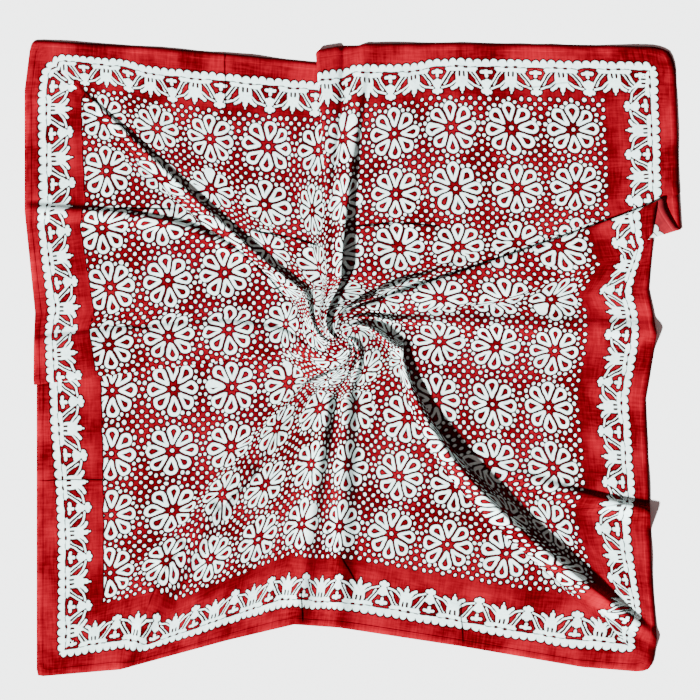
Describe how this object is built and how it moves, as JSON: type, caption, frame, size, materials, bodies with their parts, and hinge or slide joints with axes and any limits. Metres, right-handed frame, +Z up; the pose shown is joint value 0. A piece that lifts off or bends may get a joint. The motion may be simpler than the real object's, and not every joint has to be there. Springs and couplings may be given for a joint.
{
  "type": "batik scarf",
  "caption": "Square dyed cotton scarf laid flat and pinched at its middle, with twisted folds running out to the hem and pressed pleats at three sides.",
  "frame": {"origin": "under the middle of the laid scarf's outline, on the surface it rests on", "axes": "+Z up from the surface, +Y towards the edge at the top of the picture, +X towards the edge at its right"},
  "size_m": [0.815, 0.792, 0.0322],
  "materials": {
    "dyed_cotton": "matt plain-woven cotton, dyed red round white resist-printed flowers, dots and a border"
  },
  "bodies": {
    "root": {"scarf_cloth": "dyed_cotton"}
  },
  "joints": []
}
